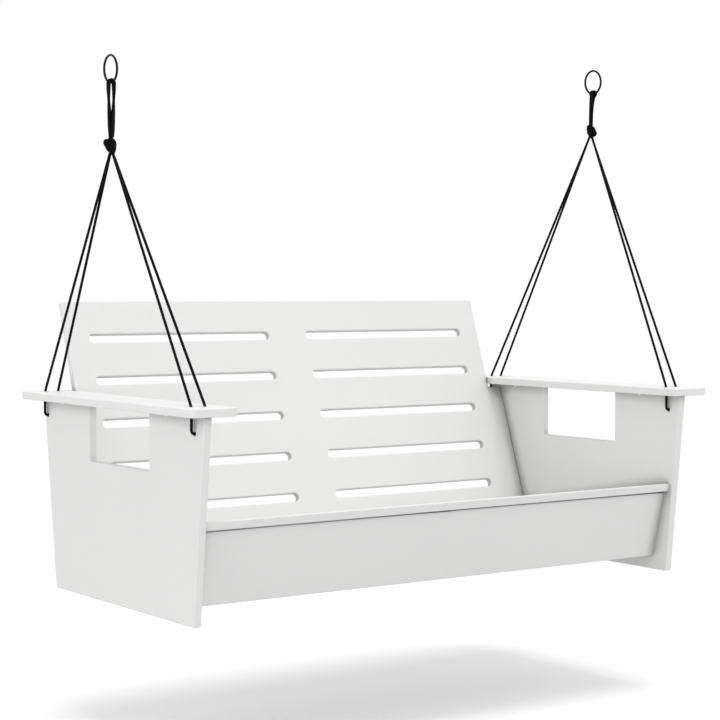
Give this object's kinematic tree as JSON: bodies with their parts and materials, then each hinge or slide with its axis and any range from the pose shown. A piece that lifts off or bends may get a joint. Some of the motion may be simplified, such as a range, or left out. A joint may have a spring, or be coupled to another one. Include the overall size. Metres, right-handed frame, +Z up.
{
  "type": "porch swing seat",
  "caption": "Bench with panelled sides, flat arms and a slotted leaning back, hung by knotted rope harnesses from steel rings; swings fore and aft.",
  "frame": {"origin": "the point midway between the centres of the two hanging rings, on the axis that the bench swings about", "axes": "+X towards the seated person's left, the end with the higher ring; +Y towards the back; +Z up"},
  "size_m": [1.495, 0.8338, 1.298],
  "materials": {
    "board": "smooth white sheet with eased edges",
    "white_caps": "white coated pan heads",
    "fixing_steel": "plain stainless",
    "ring_steel": "polished round wire",
    "rope": "black braided rope"
  },
  "bodies": {
    "rings": {"left_ring": "ring_steel", "right_ring": "ring_steel"},
    "bench": {"left_side_panel": "board", "right_side_panel": "board", "left_arm": "board", "right_arm": "board", "back_panel": "board", "seat_panel": "board", "front_apron": "board", "rear_stretcher": "board", "seat_rib": "board", "left_seat_cleat": "board", "right_seat_cleat": "board", "left_back_cleat": "board", "right_back_cleat": "board", "left_apron_cleat": "board", "right_apron_cleat": "board", "left_arm_ties": "fixing_steel", "right_arm_ties": "fixing_steel", "arm_screws": "white_caps", "tie_screws": "fixing_steel", "cleat_screws": "fixing_steel", "seat_screws": "fixing_steel", "back_screws": "fixing_steel", "apron_screws": "fixing_steel", "stretcher_screws": "fixing_steel", "left_rope_loops": "rope", "right_rope_loops": "rope", "left_knot": "rope", "right_knot": "rope", "left_front_rope": "rope", "right_front_rope": "rope", "left_rear_rope": "rope", "right_rear_rope": "rope"}
  },
  "joints": [
    {"name": "swing", "type": "hinge", "parent": "rings", "child": "bench", "pos_m": [0, 0, 0], "axis": [0.999, 0, 0.0444], "range_deg": [-25, 25]}
  ]
}
